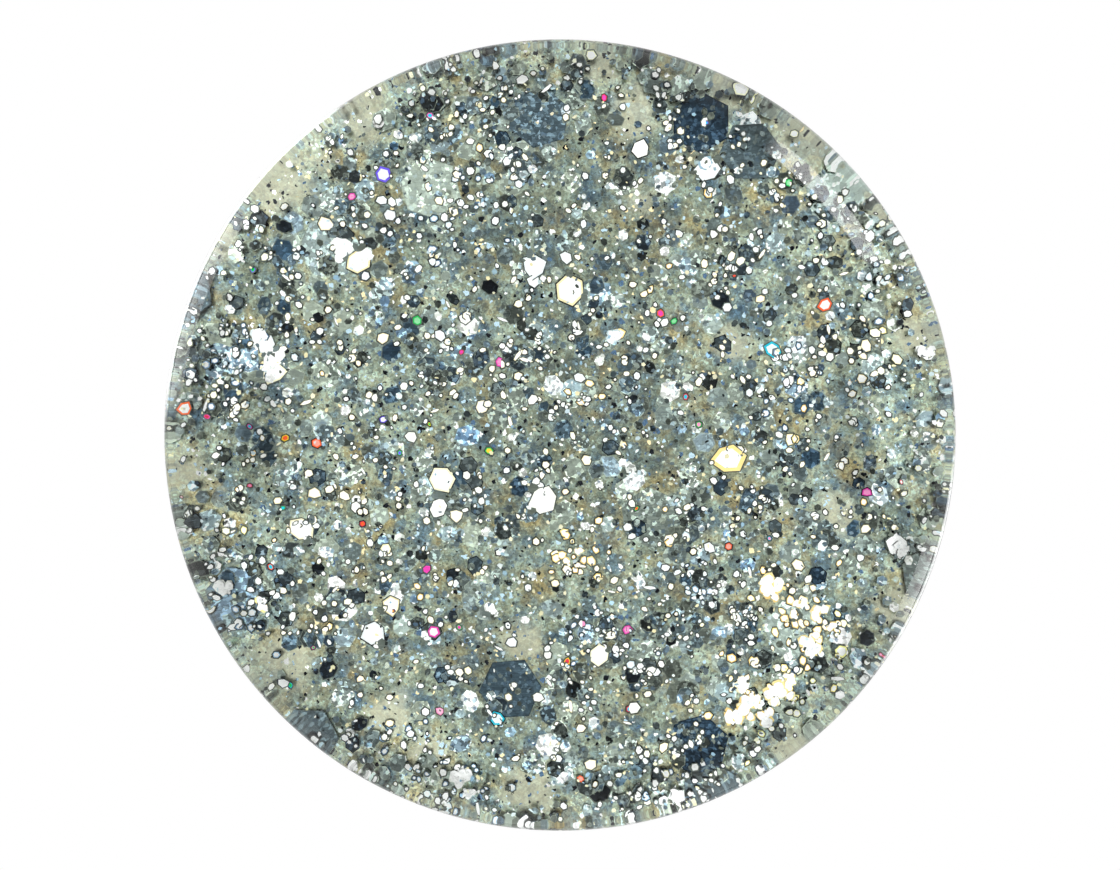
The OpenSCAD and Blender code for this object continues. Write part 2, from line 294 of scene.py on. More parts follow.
def glitter_polish():
    """Cloudy polish full of glitter, laid out by the grain attribute, in mm as seen through the base."""
    material, n, shader = new_material("glitter_polish")
    place = n.add("ShaderNodeAttribute", attribute_name="grain").outputs["Vector"]
    ragged = warped(n, place, 7.0, 0.22)
    shifted = n.vector("ADD", place, (31.0, 17.0, 5.0))
    cloud = n.noise(place, 0.55, 7.0, 0.68)
    colour = n.ramp(cloud, [(0.34, SAGE_DARK), (0.48, SAGE), (0.62, SAGE_PALE)])
    slate = n.ramp(n.noise(place, 0.8, 5.0, 0.65), [(0.46, 0), (0.62, 0.75)])
    colour = n.mix(slate, colour, SLATE)
    olive = n.ramp(n.noise(shifted, 0.7, 5.0, 0.6), [(0.5, 0), (0.66, 0.8)])
    colour = n.mix(olive, colour, OLIVE)
    drift = n.ramp(n.noise(shifted, 0.16, 2.0, 0.5), [(0.38, 0.8), (0.62, 1.16)])
    colour = n.mix(1.0, colour, drift, "MULTIPLY")
    # The bare patches, with a ragged border, where little of the grain shows.
    bare = 0.0
    for x, y, spread in BARE:
        far = n.vector("DISTANCE", place, (x, y, 0.0))
        near = n.math("SUBTRACT", 1.0, n.math("DIVIDE", far, spread * 1.5), clamp=True)
        bare = n.math("MAXIMUM", bare, near)
    bare = n.math("ADD", bare, n.math("MULTIPLY_ADD", n.noise(shifted, 0.45, 4.0, 0.6), 1.6, -0.98))
    calm = n.ramp(bare, [(0.25, 0), (0.6, 0.9)])
    colour = n.mix(calm, colour, KHAKI)
    grain = n.math("MULTIPLY_ADD", calm, -0.7, 1.0)
    # Faint sunken flakes, then a coarse and a fine mosaic, then bright and dark specks.
    red, _, blue, distance = cells(n, place, 0.8)
    sunk = n.math("MULTIPLY", n.math("LESS_THAN", distance, 0.5), n.math("LESS_THAN", blue, 0.6))
    colour = n.mix(n.math("MULTIPLY", sunk, n.math("MULTIPLY", grain, 0.5)), colour,
                   n.ramp(red, [(0.0, SAGE_DARK), (0.4, SLATE), (0.7, SAGE_PALE)], "CONSTANT"))
    coarse = [(0.0, (0.6, 0.63, 0.67)), (0.3, (0.92, 0.88, 0.78)), (0.7, (0.96, 1.02, 1.02)),
              (1.0, (1.2, 1.24, 1.25))]
    colour = n.mix(grain, colour, n.ramp(cells(n, ragged, 0.17)[0], coarse), "MULTIPLY")
    fine = [(0.0, (0.56, 0.6, 0.65)), (0.5, (1.02, 0.97, 0.87)), (1.0, (1.36, 1.46, 1.52))]
    colour = n.mix(grain, colour, n.ramp(cells(n, ragged, 0.075)[1], fine), "MULTIPLY")
    colour, large_specks = dots(n, colour, ragged, 0.3, 0.22, 0.4, SPECKS)
    colour, small_specks = dots(n, colour, ragged, 0.16, 0.22, 0.42, SPECKS)
    # Painted light: the side, and the part seen through the heel, take in less light from below, so their
    # colour is painted up to half again brighter there.
    off = n.vector("LENGTH", n.vector("MULTIPLY", place, (1, 1, 0)))
    gain = n.math("SUBTRACT", n.smooth(off, 12.2, 14.8, 1.0, 1.5), 1.0)
    gain = n.math("MULTIPLY_ADD", gain, n.math("SUBTRACT", 1.0, calm), 1.0)
    gain = n.add("ShaderNodeCombineColor", {0: gain, 1: gain, 2: gain}).outputs[0]
    colour = n.mix(1.0, colour, gain, "MULTIPLY")
    mask = n.math("MAXIMUM", large_specks, small_specks)
    wire(n, shader, Base_Color=colour, Roughness=n.math("MULTIPLY_ADD", mask, -0.2, 0.42),
         Metallic=n.math("MULTIPLY_ADD", mask, 0.3, 0.5), Specular_IOR_Level=0.2)
    return material


def film(name, roughness, metal, streak):
    """Metallised film flakes: each face's own colour, with fine scratches, speckle and small spots."""
    material, n, shader = new_material(name)
    place = n.mm()
    tint = n.add("ShaderNodeAttribute", attribute_name="tint")
    brushed = n.add("ShaderNodeMapping", {"Vector": place, "Scale": (1.0, 9.0, 4.0),
                                          "Rotation": (0.0, 0.0, 0.6)}).outputs[0]
    scratch = n.noise(brushed, 2.0, 4.0, 0.65)
    streaks = n.ramp(scratch, [(0.3, 1 - streak), (0.5, 1), (0.7, 1 + 2 * streak)])
    colour = n.mix(1.0, tint.outputs["Color"], streaks, "MULTIPLY")
    ragged = warped(n, place, 7.0, 0.2)
    speckle = [(0.0, 0.35), (0.35, 0.8), (0.65, 1.3), (0.85, 3.2), (1.0, 6.0)]
    speckled = n.mix(1.0, colour, n.ramp(cells(n, ragged, 0.13)[0], speckle), "MULTIPLY")
    colour = n.mix(tint.outputs["Alpha"], colour, speckled)
    red, green, _, distance = cells(n, ragged, 0.19)
    spot = n.math("MULTIPLY", n.math("GREATER_THAN", red, 0.7), n.math("LESS_THAN", distance, 0.42))
    spot = n.math("MULTIPLY", spot, n.math("MULTIPLY", tint.outputs["Alpha"], 0.75))
    colour = n.mix(spot, colour, n.ramp(green, [(0.0, STEEL_BLUE), (0.45, SAGE), (0.75, ICE)], "CONSTANT"))
    wire(n, shader, Base_Color=colour, Metallic=metal, Specular_IOR_Level=0.3,
         Roughness=n.math("MULTIPLY_ADD", scratch, 0.2, roughness))
    return material


def moulded(name, colour, roughness, grain=0.35, coat=0.0):
    """Injection-moulded plastic with fine grain, soft mottling and uneven gloss."""
    material, n, shader = new_material(name)
    place = n.mm()
    cloud = n.noise(place, 0.25, 3.0)
    fine = n.noise(place, 6.0, 3.0, 0.6)
    dark = tuple(c * 0.86 for c in colour[:3])
    light = tuple(min(1, c * 1.1 + 0.002) for c in colour[:3])
    base = n.mix(cloud, (*dark, 1), (*light, 1))
    rough = n.math("MULTIPLY_ADD", cloud, 0.14, roughness - 0.07)
    wire(n, shader, Base_Color=base, Roughness=rough, Coat_Weight=coat, Coat_Roughness=0.08,
         Normal=n.bump(fine, grain, 0.00002))
    return material


def wetted(name, colour, roughness, line):
    """A brush part with glitter polish clinging to it below the line, in mm up the bottle."""
    material, n, shader = new_material(name)
    place = n.mm()
    up = n.add("ShaderNodeSeparateXYZ", {0: place}).outputs["Z"]
    edge = n.math("MULTIPLY_ADD", n.noise(place, 0.9, 3.0), 2.4, line - 1.2)
    wet = n.math("LESS_THAN", up, edge)
    film_colour = n.ramp(n.noise(place, 1.2, 5.0, 0.65), [(0.35, SAGE_DARK), (0.5, SAGE), (0.65, SAGE_PALE)])
    ragged = warped(n, place, 7.0, 0.2)
    stops = [(0.0, INK), (0.3, STEEL_BLUE), (0.5, SAGE_PALE), (0.66, ICE), (0.84, WHITE), (0.95, WARM)]
    film_colour = dots(n, film_colour, ragged, 0.45, 0.6, 0.42, stops)[0]
    film_colour = dots(n, film_colour, ragged, 0.2, 0.5, 0.42, stops)[0]
    cloud = n.noise(place, 0.8, 3.0)
    dry = n.mix(cloud, tuple(c * 0.9 for c in colour[:3]) + (1,), colour)
    wire(n, shader, Base_Color=n.mix(wet, dry, film_colour),
         Roughness=n.math("MULTIPLY_ADD", wet, 0.12 - roughness, roughness),
         Metallic=n.math("MULTIPLY", wet, 0.3), Coat_Weight=n.math("MULTIPLY", wet, 0.8),
         Coat_Roughness=0.05, Normal=n.bump(n.noise(place, 3.0, 3.0), 0.25, 0.00004))
    return material


def steel():
    """Bright drawn wire flattened into a staple."""
    material, n, shader = new_material("staple_steel")
    place = n.mm()
    drawn = n.add("ShaderNodeMapping", {"Vector": place, "Scale": (1.0, 12.0, 12.0)}).outputs[0]
    lines = n.noise(drawn, 3.0, 3.0)
    wire(n, shader, Base_Color=n.mix(lines, srgb(150, 152, 155), srgb(196, 198, 200)), Metallic=1.0,
         Roughness=n.math("MULTIPLY_ADD", lines, 0.2, 0.2))
    return material


GLASS = clear_glass()
POLISH = glitter_polish()
FILMS = {name: film(name, *look) for name, *look in (
    ("navy_film", 0.22, 0.9, 0.25), ("silver_film", 0.2, 0.92, 0.08),
    ("black_film", 0.22, 0.9, 0.2), ("gold_film", 0.2, 0.92, 0.05))}
CAP_PLASTIC = moulded("black_plastic", srgb(13, 13, 15), 0.16, 0.05, 0.4)
WHITE_PLASTIC = moulded("white_plastic", srgb(226, 226, 222), 0.42)
SOFT_PLASTIC = moulded("soft_white_plastic", srgb(236, 236, 231), 0.5)
WET_STEM = wetted("wet_stem", srgb(236, 236, 231), 0.4, FILL_Z)
BRISTLE = wetted("black_nylon", srgb(24, 24, 26), 0.35, STEM_END_Z - 0.5)
STEEL = steel()


# ---- bottle

# Half the width of the thread's foot, the width of each flank, and the turns over which its ends fade.
THREAD_HALF = 0.62
THREAD_FLANK = 0.36
THREAD_FADE = 0.12


def thread_height(a, r, z):
    """How far the screw thread stands out of the neck at an angle and height."""
    if abs(r - NECK_R) > 1e-4 or not THREAD_Z - 1 < z < THREAD_Z + THREAD_TURNS * THREAD_PITCH + 1:
        return 0
    best = 0
    for turn in (0, 1):
        t = a / (2 * pi) + turn
        if not 0 <= t <= THREAD_TURNS:
            continue
        off = abs(z - THREAD_Z - THREAD_PITCH * t)
        side = min(1, max(0, (THREAD_HALF - off) / THREAD_FLANK))
        fade = min(1, t / THREAD_FADE, (THREAD_TURNS - t) / THREAD_FADE)
        best = max(best, (THREAD_R - NECK_R) * side * side * (3 - 2 * side) * fade)
    return best


def glass_profile():
    """Outside from the middle of the pushed-up base to the lip, then inside from the lip to the floor."""
    heel_r, turn_r, turn_z = BOTTLE_R - HEEL_R, BOTTLE_R - SHOULDER_R, SHOULDER_Z - SHOULDER_R
    fillet_r, fillet_z = NECK_R + NECK_FILLET, SHOULDER_Z + NECK_FILLET
    mouth_z, foot_r, foot_z = LIP_Z - BORE_ROUND, BORE_R + BORE_FOOT, CEILING_Z + BORE_FOOT
    inner_z, corner_r, corner_z = CEILING_Z - INNER_SHOULDER_R, INNER_R - CORNER_R, BASE_T + CORNER_R
    outer = [(BEARING_R * i / 24, PUSH_UP * (1 - (i / 24) ** 2)) for i in range(25)]
    outer += run(outer[-1], (heel_r - 0.03, 0), 6)
    outer += arc(heel_r, HEEL_R, HEEL_R, -90, 0, 28)
    outer += run((BOTTLE_R, HEEL_R), (BOTTLE_R, turn_z - 0.03), 16)
    outer += arc(turn_r, turn_z, SHOULDER_R, 0, 90, 36)
    outer += run((turn_r, SHOULDER_Z), (fillet_r + 0.02, SHOULDER_Z), 3)
    outer += arc(fillet_r, fillet_z, NECK_FILLET, 270, 180, 10)
    outer += run((NECK_R, fillet_z), (NECK_R, LIP_Z - LIP_ROUND - 0.02), 150)
    outer += arc(NECK_R - LIP_ROUND, LIP_Z - LIP_ROUND, LIP_ROUND, 0, 90, 8)
    inner = arc(BORE_R + BORE_ROUND, mouth_z, BORE_ROUND, 90, 180, 6)
    inner += run((BORE_R, mouth_z), (BORE_R, foot_z), 10)
    inner += arc(foot_r, foot_z, BORE_FOOT, 180, 270, 8)
    inner += run((foot_r, CEILING_Z), (turn_r - 0.05, CEILING_Z), 4)
    inner += arc(turn_r, inner_z, INNER_SHOULDER_R, 90, 0, 28)
    inner += run((INNER_R, inner_z), (INNER_R, corner_z + 0.03), 12)
    inner += arc(corner_r, corner_z, CORNER_R, 0, -90, 20)
    inner += run((corner_r, BASE_T), (0, BASE_T), 6)
    return outer + inner


glass = revolve("glass", glass_profile(), GLASS, bulge=thread_height)
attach(glass, "bottle")
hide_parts("glass_bottle")


# ---- polish

POLISH_R = INNER_R + SOAK
POLISH_FLOOR = BASE_T - SOAK
CORNER = (INNER_R - CORNER_R, BASE_T + CORNER_R, CORNER_R + SOAK)
SHOULDER = (BOTTLE_R - SHOULDER_R, CEILING_Z - INNER_SHOULDER_R, INNER_SHOULDER_R + SOAK)


# ---- sheets that the flakes lie on

def meridian(s):
    """Radius, height and outward direction on the polish, s mm from the floor's middle along the skin."""
    a = (s - CORNER[0]) / CORNER[2]
    if a < 0:
        return s, POLISH_FLOOR, 0.0, -1.0
    if a < pi / 2:
        nr, nz = sin(a), -cos(a)
        return CORNER[0] + CORNER[2] * nr, CORNER[1] + CORNER[2] * nz, nr, nz
    z = CORNER[1] + (a - pi / 2) * CORNER[2]
    if z < SHOULDER[1]:
        return POLISH_R, z, 1.0, 0.0
    b = (z - SHOULDER[1]) / SHOULDER[2]
    nr, nz = cos(b), sin(b)
    return SHOULDER[0] + SHOULDER[2] * nr, SHOULDER[1] + SHOULDER[2] * nz, nr, nz


# How far the line of sight goes on through the glass in one step, and how many steps it may take.
STRIDE = 0.004
STRIDES = 1500


def sight(seen_r, lift):
    """Where a line of sight, seen_r mm off the middle of the base, comes within lift of the polish.

    It starts at the camera, bends where it enters the glass, and ends as a distance along the skin.
    """
    slope = seen_r / CAMERA_FAR
    lean, top = 0.0, atan(1 / max(slope, 1e-6))
    r, z = slope * (CAMERA_FAR - HEEL_R), 0.0
    if r > BOTTLE_R - HEEL_R:
        # Halve the angle again and again until the point on the round of the heel is found.
        for _ in range(40):
            middle = (lean + top) / 2
            r, z = BOTTLE_R - HEEL_R + HEEL_R * sin(middle), HEEL_R - HEEL_R * cos(middle)
            lean, top = (middle, top) if r < slope * (CAMERA_FAR - HEEL_R + z) else (lean, middle)
    into = Vector((slope, 1)).normalized()
    out = Vector((sin(lean), -cos(lean)))
    cos_in = -into.dot(out)
    cos_on = sqrt(1 - (1 - cos_in ** 2) / IOR_GLASS ** 2)
    step = (into / IOR_GLASS + out * (cos_in / IOR_GLASS - cos_on)) * STRIDE
    for _ in range(STRIDES):
        r, z = r + step[0], z + step[1]
        off_r, off_z = r - CORNER[0], z - CORNER[1]
        near = r < POLISH_R + lift if off_z > 0 else hypot(off_r, off_z) < CORNER[2] + lift
        if z > POLISH_FLOOR - lift and (off_r <= 0 or near):
            break
    if off_r <= 0:
        return r
    if off_z > 0:
        return CORNER[0] + CORNER[2] * pi / 2 + off_z
    return CORNER[0] + CORNER[2] * atan2(off_r, -off_z)


SIGHT_STEPS = 304
HIGH_LIFT = 0.1


def sight_table(lift):
    """sight() for evenly spaced radii.

    Lines of sight near the rim come back down the skin. From there the table runs on up instead.
    """
    table = [sight(BOTTLE_R * i / SIGHT_STEPS, lift) for i in range(SIGHT_STEPS + 1)]
    peak = table.index(max(table))
    return table[:peak + 1] + [table[peak] + 0.04 * i for i in range(1, SIGHT_STEPS - peak + 1)]


SIGHTS, HIGH_SIGHTS = sight_table(0), sight_table(HIGH_LIFT)
# Flakes of the side lie between these heights along the skin, and WALL_GAP or more above the lower one.
WALL_LOW = SIGHTS[-4]
WALL_HIGH = CORNER[0] + CORNER[2] * pi / 2 + SHOULDER[1] - CORNER[1] + SHOULDER[2] * 0.5
WALL_GAP, WALL_GAP_LARGE = 0.4, 1.4
# Flakes float on the surface within this radius.
TOP_R = 12.4


def polish_skin():
    """Profile of the polish, and for each of its points the radius and height its grain is laid out in.

    Seen through the heel, the grain would be drawn out into streaks. So there it is laid out as it is seen.
    """
    bent = range(SIGHT_STEPS - 63, SIGHT_STEPS + 1, 3)
    skin = [(0, 0)] + [(SIGHTS[k], BOTTLE_R * k / SIGHT_STEPS) for k in bent]
    profile = [meridian(s)[:2] for s, _ in skin]
    grain = [(seen, 0.0) for _, seen in skin]
    low = profile[-1][1]
    walls = [CORNER[1] + 0.8 * i for i in range(int((SHOULDER[1] - CORNER[1]) / 0.8))]
    side = [(POLISH_R, z) for z in walls if z > low]
    climb = degrees(asin((FILL_Z + MENISCUS - SHOULDER[1]) / SHOULDER[2]))
    side += arc(*SHOULDER, 0, climb, 14)
    grain += [(BOTTLE_R, z - low) for _, z in side]
    edge_r = side[-1][0]
    steps = (0.1, 0.2, 0.35, 0.5, 0.8, 1.2, 1.8, 2.6)
    top = [(edge_r - d, FILL_Z + MENISCUS * exp(-d / MENISCUS)) for d in steps]
    top += run(top[-1], (0, FILL_Z), 6)
    grain += [(r + BOTTLE_R - edge_r, FILL_Z - low) for r, _ in top]
    return profile + side + top, grain


skin_profile, skin_grain = polish_skin()
polish = revolve("polish", skin_profile, POLISH)
grains = []
for (r, z), (grain_r, grain_z) in zip(skin_profile, skin_grain):
    for k in range(1 if r < 1e-6 else SEGMENTS):
        turn = 2 * pi * k / SEGMENTS
        grains += [grain_r * cos(turn), grain_r * sin(turn), grain_z]
polish.data.attributes.new("grain", "FLOAT_VECTOR", "POINT").data.foreach_set("vector", grains)
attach(polish, "bottle")
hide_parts("polish_liquid")


def base_sheet(x, y, lift):
    """The skin of the polish as it is seen through the base, and lift mm out of it."""
    seen = max(1e-6, hypot(x, y))
    at = min(SIGHT_STEPS - 1e-6, seen / BOTTLE_R * SIGHT_STEPS)
    k = int(at)
    low = SIGHTS[k] + (SIGHTS[k + 1] - SIGHTS[k]) * (at - k)
    high = HIGH_SIGHTS[k] + (HIGH_SIGHTS[k + 1] - HIGH_SIGHTS[k]) * (at - k)
    r, z, nr, nz = meridian(low + (high - low) * lift / HIGH_LIFT)
    r += nr * lift
    return Vector((x * r / seen, y * r / seen, z + nz * lift))


def wall_sheet(u, v, lift):
    """The side of the polish: u mm round and v mm along the skin from the middle of the floor."""
    r, z, nr, nz = meridian(v)
    r += nr * lift
    return Vector((r * cos(u / POLISH_R), r * sin(u / POLISH_R), z + nz * lift))


def top_sheet(x, y, lift):
    return Vector((x, y, FILL_Z + lift))


def anywhere(sheet):
    """A random spot on a sheet."""
    if sheet is wall_sheet:
        return uniform(0, 2 * pi * POLISH_R), uniform(WALL_LOW + WALL_GAP, WALL_HIGH)
    r = (BOTTLE_R - 0.06 if sheet is base_sheet else TOP_R) * sqrt(rng.random())
    a = uniform(0, 2 * pi)
    return r * cos(a), r * sin(a)


# ---- glitter

def divisions(sheet, u, v, radius):
    """How many times each side and the heart of a flake are divided, so that it can bend with its sheet."""
    if sheet is base_sheet and hypot(u, v) + radius > CORNER[0]:
        return min(6, 1 + int(radius / 0.13))
    return 1 + int(radius / 0.6) if sheet is wall_sheet else 1


# From the first radius outwards, flakes of the base are painted brighter, as painted light for the light
# they lack there, and from the second one thinner.
PAINTED_LIGHT_FROM, THIN_FROM = 12.4, 13.6
# Kinds of glitter that no CAD node stands for.
EXTRA_KINDS = ("small_silver_wall", "fine_base", "fine_wall")


class Glitter:
    """Many flat flakes in one piece. Each face has a colour, whose alpha says how speckled it is."""

    def __init__(self):
        self.points, self.faces, self.tints = [], [], []

    def flake(self, sheet, u, v, radius, lift, rings, wobble, squash=1.0, thickness=0.03, sides=6):
        """One flake, bent to lie on its sheet. rings are (size, colour) from the rim inwards."""
        cuts = divisions(sheet, u, v, radius)
        spin, lie = uniform(0, pi), uniform(0, pi)
        dip = uniform(-0.3, 0.3) * min(0.012, lift * 0.3)
        corners = []
        for k in range(sides):
            a = 2 * pi * k / sides + spin
            size = radius * (1 + uniform(-wobble, wobble))
            a, b = size * cos(a), size * sin(a) * squash
            corners.append((a * cos(lie) - b * sin(lie), a * sin(lie) + b * cos(lie)))
        outline = []
        for (a, b), (c, d) in zip(corners, corners[1:] + corners[:1]):
            outline += [(a + (c - a) * i / cuts, b + (d - b) * i / cuts) for i in range(cuts)]
        heart, inner = rings[-1]
        rings = rings + [(heart * (cuts - i) / cuts, inner) for i in range(1, cuts)]
        if sheet is base_sheet and hypot(u, v) > THIN_FROM:
            thickness *= 0.2
        # Painted light: flakes of the side, and of the base near the rim, get less light from below, so
        # their colours are painted brighter.
        gain = 1.2 if sheet is wall_sheet else 1.0
        if sheet is base_sheet:
            gain = 1 + 0.5 * min(1, max(0, (hypot(u, v) - PAINTED_LIGHT_FROM) / 2.4))

        def face(corners, colour):
            self.faces.append(tuple(corners))
            self.tints.append((*(min(1, c * gain) for c in colour[:3]), colour[3]))

        first, count = len(self.points), len(outline)
        for size, level in [(size, 0.0) for size, _ in rings] + [(rings[0][0], -thickness)]:
            for du, dv in outline:
                height = lift + level + dip * du * size / radius
                self.points.append(tuple(sheet(u + du * size, v + dv * size, height) * MM))
        last = first + (len(rings) - 1) * count
        under = last + count
        for i, (_, colour) in enumerate(rings[:-1]):
            low, high = first + i * count, first + (i + 1) * count
            for k in range(count):
                n = (k + 1) % count
                face((low + k, low + n, high + n, high + k), colour)
        face(range(last, under), rings[-1][1])
        for k in range(count):
            n = (k + 1) % count
            face((under + k, under + n, first + n, first + k), rings[0][1])
        face(range(under + count - 1, under - 1, -1), rings[0][1])

    def piece(self, kind, slot):
        """Makes the piece, in place of the CAD node of its kind if there is one."""
        obj = mesh_piece("flakes_" + kind, self.points, self.faces, FILMS[slot], smooth=False)
        layer = obj.data.attributes.new("tint", "FLOAT_COLOR", "FACE")
        layer.data.foreach_set("color", [c for tint in self.tints for c in tint])
        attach(obj, "bottle")
        if kind not in EXTRA_KINDS:
            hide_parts("glitter_" + kind)


def haze(colour, amount, speckle=0.0, spread=0.1):
    """A colour seen through some of the polish, a little lighter or darker than its kind."""
    gain = 1 + uniform(-spread, spread)
    mixed = [min(1.0, (c * (1 - amount) + s * amount) * gain) for c, s in zip(colour[:3], SAGE[:3])]
    return (*mixed, speckle)


def glint(glitter, sheet, u, v, radius, ring=None, core=None, lift=0.07, squash=None):
    """A flake that throws the light back, as a painted glint: a white heart of painted highlight in a
    coloured rim, and a thin dark edge of painted shade.
    """
    if glitter is small_silver and sheet is not base_sheet:
        glitter = small_silver_wall
    # The dark outer ring is painted shade round the painted glint.
    dark = haze(choice(BLACKS), uniform(0.0, 0.25))
    edge = 1.0 if radius > 0.2 else 1.12
    narrow = max(0.45, 1 - 0.05 / radius)
    rings = [(edge, dark), (edge * narrow, haze(ring or choice(CREAMS), 0.0)),
             (edge * narrow * (0.84 if ring is None else 0.72), haze(core or WHITE, 0.0, 0.0, 0.0))]
    squash = squash or uniform(0.62, 1.0)
    glitter.flake(sheet, u, v, radius, lift, rings, 0.2, squash, 0.02)


def flash(glitter, sheet, u, v, radius, rim):
    """A ragged blaze of light: white scraps that run together, over a warm or cool border."""
    for _ in range(5):
        size = radius * uniform(0.34, 0.62)
        x, y = u + uniform(-0.55, 0.55) * radius, v + uniform(-0.55, 0.55) * radius
        squash = uniform(0.6, 1.0)
        border = [(1.0, haze(rim, 0.45)), (0.9, haze(rim, 0.1))]
        for grow, lift, rings in ((1.08, 0.065, border), (0.86, 0.088, [(1.0, (*WHITE[:3], 0.3))])):
            glitter.flake(sheet, x, y, size * grow, lift + uniform(0, 0.01), rings, 0.25, squash, 0.02, 8)


def knot(sheet, u, v):
    """A few dark flakes with bright ones caught round them."""
    for _ in range(rng.randint(2, 4)):
        medium(medium_black, sheet, u + gauss(0, 0.3), v + gauss(0, 0.3), choice(BLACKS + NAVY),
               uniform(0, 0.2), uniform(0.3, 1.0), 0.38, 0.045)
    for _ in range(rng.randint(3, 7)):
        glint(small_silver, sheet, u + gauss(0, 0.42), v + gauss(0, 0.42), uniform(0.09, 0.17))


def lit_edge(sheet, u, v):
    """A black flake with light caught along one or two of its edges."""
    radius = uniform(0.2, 0.42)
    body = haze(choice(BLACKS + NAVY[1:2]), uniform(0, 0.12), uniform(0.3, 1.0))
    medium_black.flake(sheet, u, v, radius, 0.05, [(1.0, haze(BLACKS[0], 0)), (0.9, body)], 0.1,
                       uniform(0.75, 1.0))
    for _ in range(rng.randint(1, 2)):
        a = uniform(0, 2 * pi)
        x, y = u + radius * cos(a), v + radius * sin(a)
        glint(small_silver, sheet, x, y, radius * uniform(0.35, 0.6))


def bitten(sheet, u, v, radius):
    """A large bright flake with a ragged outline: dark scraps lie over its edge."""
    glint(small_silver, sheet, u, v, radius, squash=uniform(0.85, 1))
    for _ in range(4):
        a, size = uniform(0, 2 * pi), radius * uniform(0.2, 0.4)
        x, y = u + radius * cos(a), v + radius * sin(a)
        scrap = [(1.0, haze(choice(SLATES + BLACKS), 0.3))]
        small_black.flake(sheet, x, y, size, 0.095, scrap, 0.3, 0.7, 0.01)


def twin(sheet, u, v):
    """Two or three glints that touch."""
    for _ in range(rng.randint(2, 3)):
        glint(small_silver, sheet, u + gauss(0, 0.14), v + gauss(0, 0.14), uniform(0.09, 0.2),
              lift=0.07 + uniform(0, 0.012))


def room(sheet, u, v):
    """How much glitter there is at a spot: it is thin in the bare patches."""
    if sheet is not base_sheet:
        return 1.0
    return 1 - 0.75 * max(exp(-((u - x) ** 2 + (v - y) ** 2) / r ** 2) for x, y, r in BARE)


def sow(count, sheet, make, clump=0.0):
    """Calls make(sheet, u, v) at random spots, fewer in the bare patches, and gathered in drifts."""
    for _ in range(count):
        u, v = anywhere(sheet)
        drift = min(1, max(0, 0.45 + 1.6 * noise.noise(Vector((u * 0.32, v * 0.32, 7.3)))))
        if rng.random() < room(sheet, u, v) * (1 - clump + clump * drift):
            make(sheet, u, v)


NAVY = [srgb(40, 58, 72), srgb(33, 48, 61), srgb(46, 66, 82)]
SLATES = [srgb(58, 72, 86), srgb(70, 88, 104), srgb(48, 62, 72), srgb(82, 98, 108)]
BLUES = [srgb(112, 144, 174), srgb(146, 180, 204), srgb(96, 124, 152)]
SILVERS = [srgb(232, 240, 242), srgb(252, 253, 250), srgb(198, 214, 222), srgb(252, 253, 250)]
BLACKS = [srgb(14, 18, 22), srgb(22, 28, 34), srgb(34, 43, 51)]
CREAMS = [srgb(250, 240, 205), srgb(238, 226, 180), srgb(246, 246, 236), srgb(226, 232, 232)]
GOLDS = [srgb(255, 226, 150), srgb(250, 212, 128), srgb(255, 236, 190)]
SPARKS = [srgb(226, 70, 170), srgb(30, 190, 90), srgb(240, 96, 50), srgb(40, 190, 215), srgb(110, 90, 225),
          srgb(230, 200, 60), srgb(220, 60, 80), srgb(240, 150, 190)]

large_navy, large_silver, medium_silver, medium_black, small_silver = (Glitter() for _ in range(5))
small_silver_wall, small_black, small_gold, fine_base, fine_wall = (Glitter() for _ in range(5))


def large(glitter, sheet, u, v, colour, veil, speckle):
    """A large hexagon. veil says how much polish lies over it; under a thick veil it lies deeper."""
    body = haze(colour, veil, speckle)
    brim = haze(tuple(c * 0.6 for c in colour[:3]), veil, speckle)
    if sheet is wall_sheet:
        v = max(v, WALL_LOW + WALL_GAP_LARGE)
    glitter.flake(sheet, u, v, 1.22, 0.05 if veil < 0.3 else 0.008, [(1.0, brim), (0.96, body)], 0.03)


def medium(glitter, sheet, u, v, colour, veil, speckle, radius, lift):
    """A medium or small hexagon of one colour, in one of a few sizes."""
    body = haze(colour, veil, speckle)
    brim = haze(colour, min(1, veil + 0.25), speckle)
    squash, size = uniform(0.7, 1.0), radius * choice((0.55, 0.75, 1.0, 1.0, 1.15))
    glitter.flake(sheet, u, v, size, lift + uniform(0, 0.012), [(1.0, brim), (0.9, body)], 0.08, squash)


# Large hexagons, navy and then pale.
for x, y, veil in (
        (-0.8, -12.2, 0.1), (5.4, -12.0, 0.0), (7.3, -10.9, 0.12), (-1.9, 9.8, 0.05), (5.3, 11.9, 0.0),
        (3.5, 3.2, 0.45), (-9.7, 11.6, 0.15), (5.9, 13.8, 0.1), (-14.5, -5.5, 0.1), (14.3, 5.4, 0.25)):
    large(large_navy, base_sheet, x, y, choice(NAVY), veil, uniform(0.25, 0.7))
for x, y, veil, speckle in (
        (-12.6, -2.7, 0.3, 0.9), (-8.9, -7.2, 0.7, 0.5), (-12.4, 6.2, 0.2, 0.6), (9.0, 7.5, 0.8, 0.4),
        (10.6, -9.2, 0.8, 0.3), (-5.0, -9.5, 0.85, 0.3)):
    large(large_silver, base_sheet, x, y, choice(BLUES), veil, speckle)
sow(30, wall_sheet, lambda *at: large(large_navy, *at, choice(NAVY), uniform(0, 0.5), 0.3))
sow(26, wall_sheet, lambda *at: large(large_silver, *at, choice(BLUES), uniform(0.2, 0.8), 0.7))

